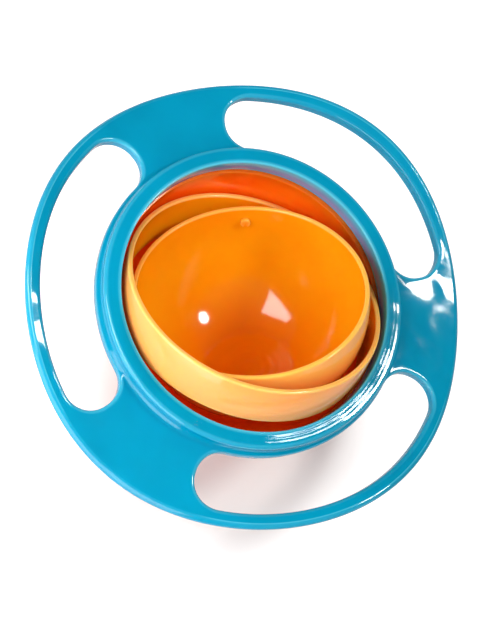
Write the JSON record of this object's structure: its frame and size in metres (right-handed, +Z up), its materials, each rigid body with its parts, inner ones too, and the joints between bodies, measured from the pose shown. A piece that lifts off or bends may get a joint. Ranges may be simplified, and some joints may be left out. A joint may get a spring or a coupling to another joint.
{
  "type": "gimballed baby bowl",
  "caption": "Spill-proof baby bowl hung on crossed pin axes in a gimbal ring inside a closed shell, carried by a wavy ring with finger slots.",
  "frame": {"origin": "centre of the circle that the foot ring stands on, under the centre of both pin axes", "axes": "+Z up through the collar, +X along the gimbal ring's pins and out through the middle of a web"},
  "size_m": [0.2147, 0.2146, 0.1033],
  "materials": {
    "blue_plastic": "glossy moulded polypropylene",
    "red_orange_plastic": "glossy moulded polypropylene",
    "light_orange_plastic": "glossy moulded polypropylene",
    "orange_plastic": "glossy moulded polypropylene",
    "pin_plastic": "glossy moulded polypropylene"
  },
  "bodies": {
    "frame": {"handle_ring": "blue_plastic", "outer_shell": "red_orange_plastic"},
    "gimbal": {"gimbal_ring": "light_orange_plastic", "gimbal_pin_left": "pin_plastic", "gimbal_pin_right": "pin_plastic"},
    "bowl": {"inner_bowl": "orange_plastic", "bowl_pin_rear": "pin_plastic", "bowl_pin_front": "pin_plastic"}
  },
  "joints": [
    {"name": "gimbal_tilt", "type": "hinge", "parent": "frame", "child": "gimbal", "pos_m": [0, 0, 0.067], "axis": [1, 0, 0], "continuous": true},
    {"name": "bowl_tilt", "type": "hinge", "parent": "gimbal", "child": "bowl", "pos_m": [0, 0, 0.067], "axis": [0, 0.8988, -0.4384], "continuous": true}
  ]
}
